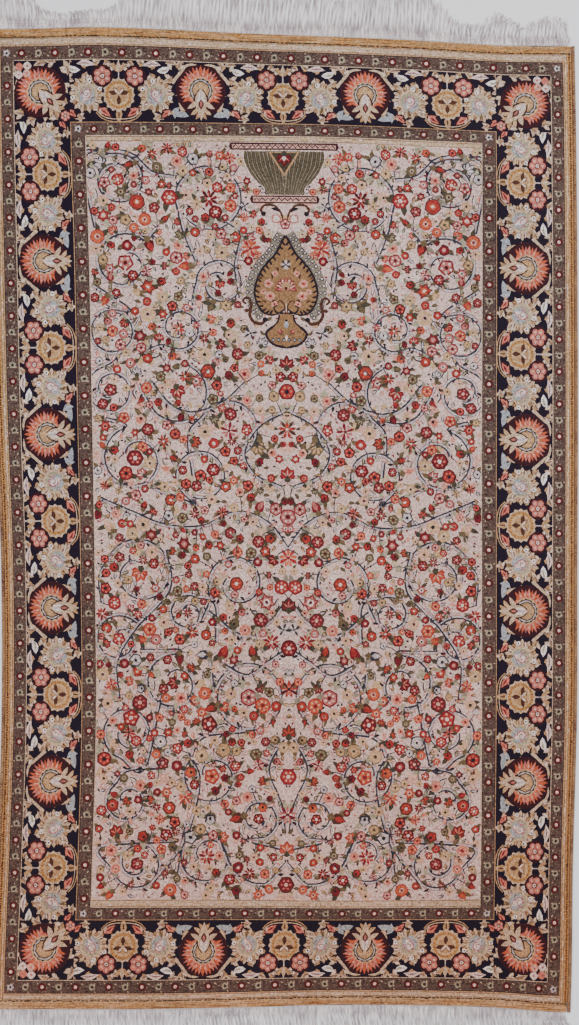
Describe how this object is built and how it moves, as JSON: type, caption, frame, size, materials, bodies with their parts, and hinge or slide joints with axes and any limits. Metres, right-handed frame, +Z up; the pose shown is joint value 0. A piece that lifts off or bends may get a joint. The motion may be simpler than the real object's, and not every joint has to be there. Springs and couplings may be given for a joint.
{
  "type": "silk prayer rug",
  "caption": "Rectangular silk pile prayer rug lying flat, with flat-woven ends, overcast side selvedges and a knotted fringe at each end.",
  "frame": {"origin": "under the middle of the rug's bounding box, on the surface it lies on", "axes": "+Y towards the rug's top end, +X to its right side as seen from above, +Z up out of the pile"},
  "size_m": [0.8146, 1.4676, 0.0036],
  "materials": {
    "silk_pile": "knotted silk pile, soft sheen",
    "selvedge_silk": "overcast gold silk",
    "fringe_silk": "loose undyed silk warp"
  },
  "bodies": {
    "root": {"rug_body": "silk_pile", "selvedge_left": "selvedge_silk", "selvedge_right": "selvedge_silk", "fringe_top": "fringe_silk", "fringe_bottom": "fringe_silk"}
  },
  "joints": []
}
